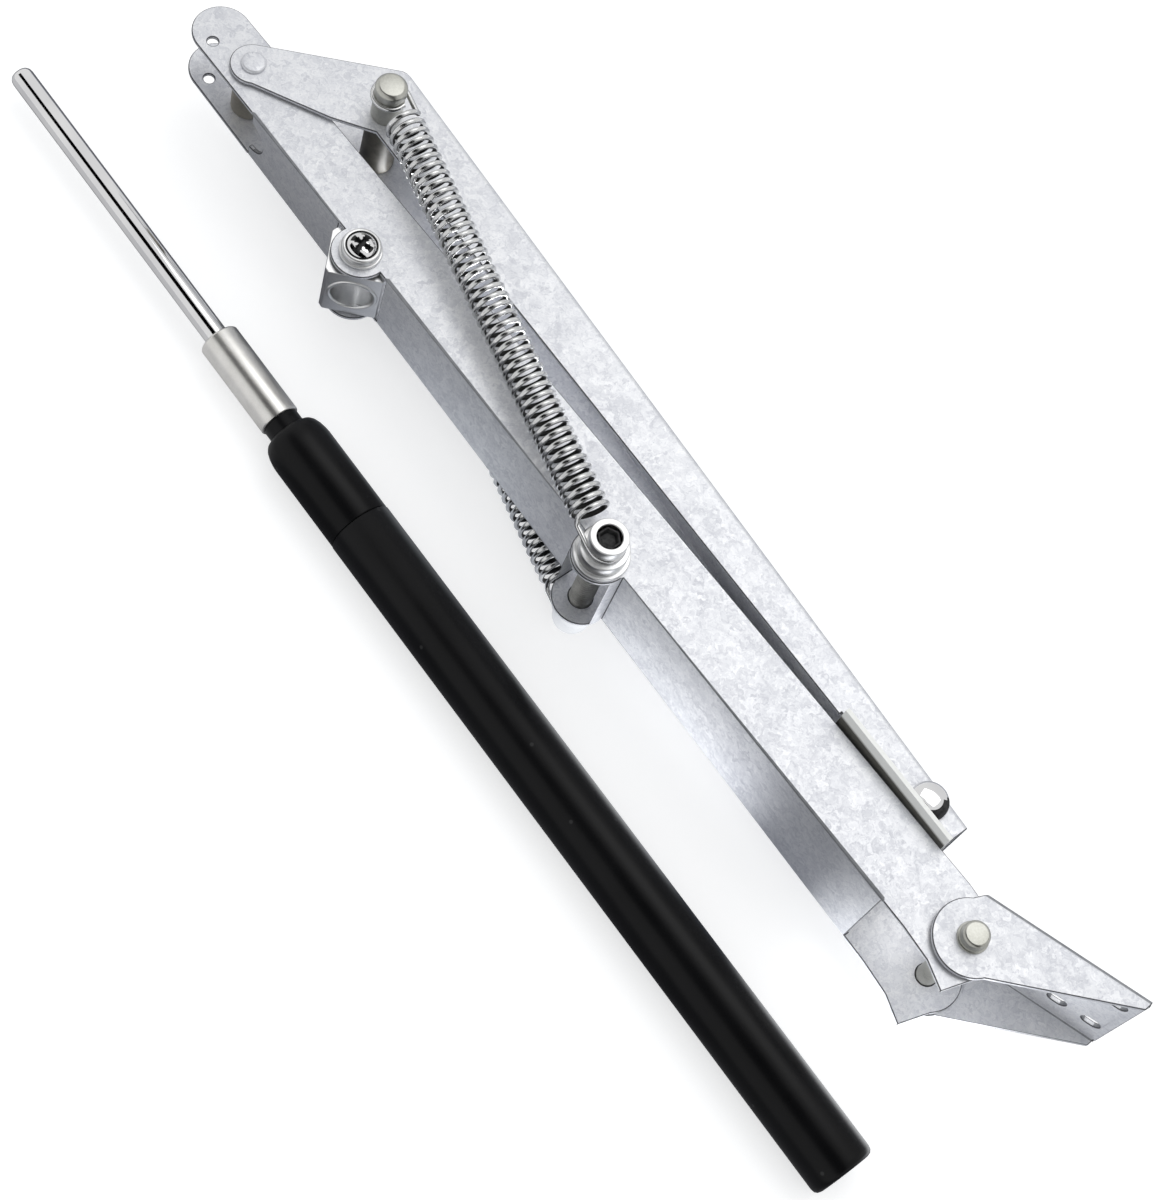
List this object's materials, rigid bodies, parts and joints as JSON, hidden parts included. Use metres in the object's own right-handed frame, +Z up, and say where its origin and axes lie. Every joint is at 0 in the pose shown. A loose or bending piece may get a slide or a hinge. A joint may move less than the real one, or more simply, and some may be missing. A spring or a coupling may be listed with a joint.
{
  "type": "greenhouse vent opener",
  "caption": "Automatic greenhouse vent opener: hinged galvanised channel arms with closing springs, a slotted frame bracket and a separate black wax cylinder with a chrome rod.",
  "frame": {"origin": "centre of the footprint on the surface that the linkage and the cylinder lie on", "axes": "+Z up along the pivot axes, +X along the slotted wall of the frame bracket away from its pivot, +Y out of that wall, towards the upper arm"},
  "size_m": [0.4707, 0.2312, 0.0651],
  "materials": {
    "galvanised": "galvanised sheet with a faint spangle",
    "nickel": "dull plated turned steel",
    "zinc": "bright zinc plate",
    "spring_wire": "drawn spring wire",
    "grey_metal": "matte cast and machined",
    "dark_sleeve": "matte dark plastic",
    "chrome": "polished chrome plate",
    "black_paint": "satin black coat",
    "rubber_seal": "moulded rubber",
    "wax": "cast mineral wax"
  },
  "bodies": {
    "lower": {"lower_arm": "galvanised", "elbow_spacer": "dark_sleeve", "spring_bolt": "nickel", "spring_posts": "zinc", "spring_post_washers": "zinc", "frame_pivot_pin": "nickel"},
    "upper": {"upper_arm": "galvanised", "elbow_pin": "nickel", "spring_pin": "nickel", "vent_clip": "galvanised", "vent_clip_bolt": "nickel", "vent_clip_nut": "zinc"},
    "bracket": {"frame_bracket": "galvanised"},
    "block": {"trunnion_block": "grey_metal", "trunnion_screws": "zinc", "trunnion_washers": "zinc"},
    "roller": {"push_roller": "dark_sleeve"},
    "springs": {"front_spring": "spring_wire", "rear_spring": "spring_wire"},
    "spring_eyes": {"front_spring_eye": "spring_wire", "rear_spring_eye": "spring_wire"},
    "cylinder": {"cylinder_tube": "black_paint", "cylinder_cap": "black_paint", "threaded_sleeve": "grey_metal", "rod_guide": "zinc", "tube_end_plug": "nickel", "wax_charge": "wax"},
    "piston": {"piston_rod": "chrome", "piston_head": "nickel", "piston_seal": "rubber_seal"}
  },
  "joints": [
    {"name": "elbow", "type": "hinge", "parent": "lower", "child": "upper", "pos_m": [-0.16387, 0.08674, 0.033], "axis": [0, 0, 1], "range_deg": [0, 70], "stiffness_Nm_per_rad": 0.8, "springref_deg": -28.65, "deforming": ["front_spring", "rear_spring", "front_spring_eye", "rear_spring_eye"]},
    {"name": "frame_pivot", "type": "hinge", "parent": "lower", "child": "bracket", "pos_m": [0.17905, -0.03832, 0.033], "axis": [0, 0, 1], "range_deg": [-60, 0]},
    {"name": "trunnion", "type": "hinge", "parent": "lower", "child": "block", "pos_m": [-0.09671, 0.04942, 0.033], "axis": [0, 0, 1], "range_deg": [-10, 25]},
    {"name": "roller_spin", "type": "hinge", "parent": "upper", "child": "roller", "pos_m": [-0.11884, 0.09769, 0.033], "axis": [0, 0, 1], "continuous": true},
    {"name": "spring_swing", "type": "hinge", "parent": "lower", "child": "springs", "pos_m": [0.02286, 0.00373, 0.033], "axis": [0, 0, 1], "range_deg": [-1.86, 0]},
    {"name": "spring_stretch", "type": "slide", "parent": "springs", "child": "spring_eyes", "axis": [-0.8334, 0.5527, 0], "range_m": [0, 0.05282]},
    {"name": "cylinder_lift", "type": "slide", "parent": "lower", "child": "cylinder", "axis": [0, 0, 1], "range_m": [0, 0.08]},
    {"name": "piston_stroke", "type": "slide", "parent": "cylinder", "child": "piston", "axis": [-0.9339, 0.3576, 0], "range_m": [-0.065, 0]}
  ],
  "couplings": [
    {"joint": "spring_swing", "follows": "elbow", "ratio": -0.026436},
    {"joint": "spring_stretch", "follows": "elbow", "m_per_rad": 0.043213}
  ]
}
